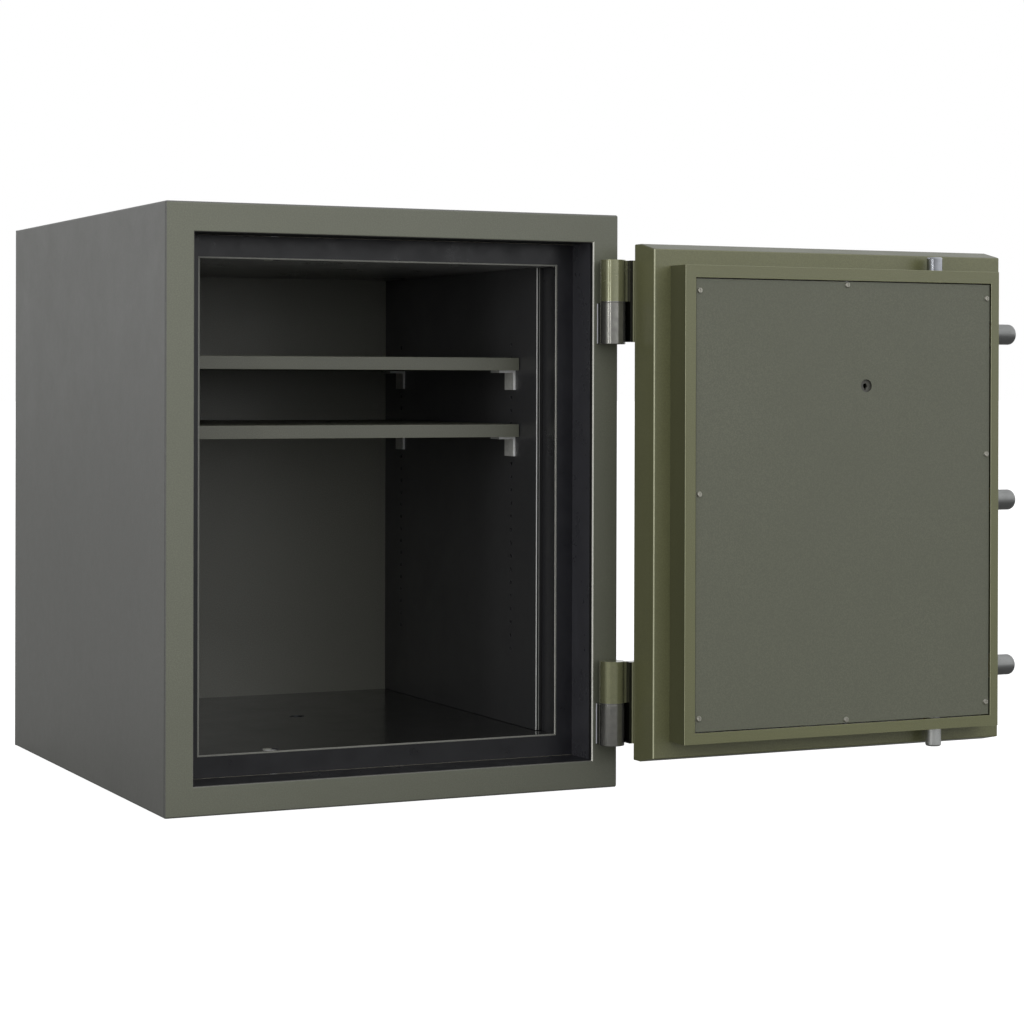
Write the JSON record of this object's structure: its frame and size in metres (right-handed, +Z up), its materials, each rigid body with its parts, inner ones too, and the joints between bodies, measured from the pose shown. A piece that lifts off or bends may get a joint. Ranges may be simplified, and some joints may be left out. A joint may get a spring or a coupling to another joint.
{
  "type": "gun safe",
  "caption": "Fire-lined steel gun safe with two loose shelves and a hinged door carrying a combination lock and handle-driven round bolts.",
  "frame": {"origin": "centre of the cabinet's base, on the floor", "axes": "+Z up; the cabinet's opening faces -Y; +X towards the hinges, where the open door lies at rest"},
  "size_m": [1.057, 0.762, 0.68],
  "materials": {
    "cabinet_paint": "fine hammered satin paint",
    "fire_board": "cast mineral board",
    "breaker_plastic": "matt black moulding",
    "liner_paint": "satin paint",
    "panel_paint": "satin paint",
    "zinc_steel": "zinc plated",
    "keeper_steel": "plain",
    "hinge_paint": "satin paint, worn",
    "hinge_steel": "worn, oiled",
    "brass": "satin",
    "shelf_paint": "satin paint",
    "door_paint": "fine hammered satin paint",
    "cover_paint": "fine hammered satin paint",
    "hard_steel": "plain",
    "bar_steel": "zinc plated",
    "bolt_steel": "polished",
    "lock_alloy": "die cast",
    "handle_chrome": "satin chrome",
    "dial_black": "black"
  },
  "bodies": {
    "cabinet": {"outer_shell": "cabinet_paint", "back_panel": "cabinet_paint", "fire_fill": "fire_board", "breaker_frame": "breaker_plastic", "inner_liner": "liner_paint", "left_side_panel": "panel_paint", "right_side_panel": "panel_paint", "shelf_clips": "zinc_steel", "bolt_keepers": "keeper_steel", "anchor_tube": "hard_steel", "lower_hinge_knuckles": "hinge_steel", "hinge_pins": "keeper_steel", "hinge_washers": "keeper_steel"},
    "upper_shelf_body": {"upper_shelf": "shelf_paint"},
    "lower_shelf_body": {"lower_shelf": "shelf_paint"},
    "door": {"door_skin": "door_paint", "door_fill": "fire_board", "hard_plate": "hard_steel", "boltwork_plate": "zinc_steel", "door_frame": "door_paint", "bolt_bushes": "brass", "inner_cover": "cover_paint", "cover_posts": "zinc_steel", "cover_screws": "zinc_steel", "upper_hinge_knuckles": "hinge_paint", "handle_rose": "handle_chrome", "shaft_tube": "zinc_steel", "shaft_bush": "brass", "dial_ring": "handle_chrome", "spindle_tube": "zinc_steel", "lock_case": "lock_alloy", "lock_cover": "lock_alloy", "lock_screws": "zinc_steel", "bar_guides": "zinc_steel"},
    "handle": {"handle_lever": "handle_chrome", "handle_shaft": "bar_steel", "drive_pinion": "bar_steel", "shaft_clip": "zinc_steel"},
    "side_bolt_set": {"side_bar": "bar_steel", "side_bolts": "bolt_steel", "side_bolt_screws": "zinc_steel"},
    "top_bolt_set": {"top_bar": "bar_steel", "top_bolt": "bolt_steel", "top_bolt_screw": "zinc_steel"},
    "bottom_bolt_set": {"bottom_bar": "bar_steel", "bottom_bolt": "bolt_steel", "bottom_bolt_screw": "zinc_steel"},
    "dial": {"dial_knob": "dial_black", "dial_spindle": "brass", "lock_wheels": "brass", "drive_cam": "brass"},
    "lock_bolt_set": {"lock_bolt": "brass", "lock_lever": "bar_steel"}
  },
  "joints": [
    {"name": "door_swing", "type": "hinge", "parent": "cabinet", "child": "door", "pos_m": [0.2645, -0.339, 0.34], "axis": [0, 0, 1], "range_deg": [-180, 0]},
    {"name": "handle_turn", "type": "hinge", "parent": "door", "child": "handle", "pos_m": [0.555, -0.35, 0.395], "axis": [0, -1, 0], "range_deg": [0, 90]},
    {"name": "side_bolt_slide", "type": "slide", "parent": "door", "child": "side_bolt_set", "axis": [-1, 0, 0], "range_m": [0, 0.034]},
    {"name": "top_bolt_slide", "type": "slide", "parent": "door", "child": "top_bolt_set", "axis": [0, 0, -1], "range_m": [0, 0.021]},
    {"name": "bottom_bolt_slide", "type": "slide", "parent": "door", "child": "bottom_bolt_set", "axis": [0, 0, 1], "range_m": [0, 0.021]},
    {"name": "dial_turn", "type": "hinge", "parent": "door", "child": "dial", "pos_m": [0.555, -0.35, 0.5], "axis": [0, -1, 0], "continuous": true},
    {"name": "lock_bolt_slide", "type": "slide", "parent": "door", "child": "lock_bolt_set", "axis": [0, 0, 1], "range_m": [-0.012, 0]},
    {"name": "upper_shelf_slide", "type": "slide", "parent": "cabinet", "child": "upper_shelf_body", "axis": [0, -1, 0], "range_m": [0, 0.6]},
    {"name": "lower_shelf_slide", "type": "slide", "parent": "cabinet", "child": "lower_shelf_body", "axis": [0, -1, 0], "range_m": [0, 0.6]}
  ],
  "couplings": [
    {"joint": "side_bolt_slide", "follows": "handle_turn", "m_per_rad": 0.021645},
    {"joint": "top_bolt_slide", "follows": "handle_turn", "m_per_rad": 0.013369},
    {"joint": "bottom_bolt_slide", "follows": "handle_turn", "m_per_rad": 0.013369}
  ]
}
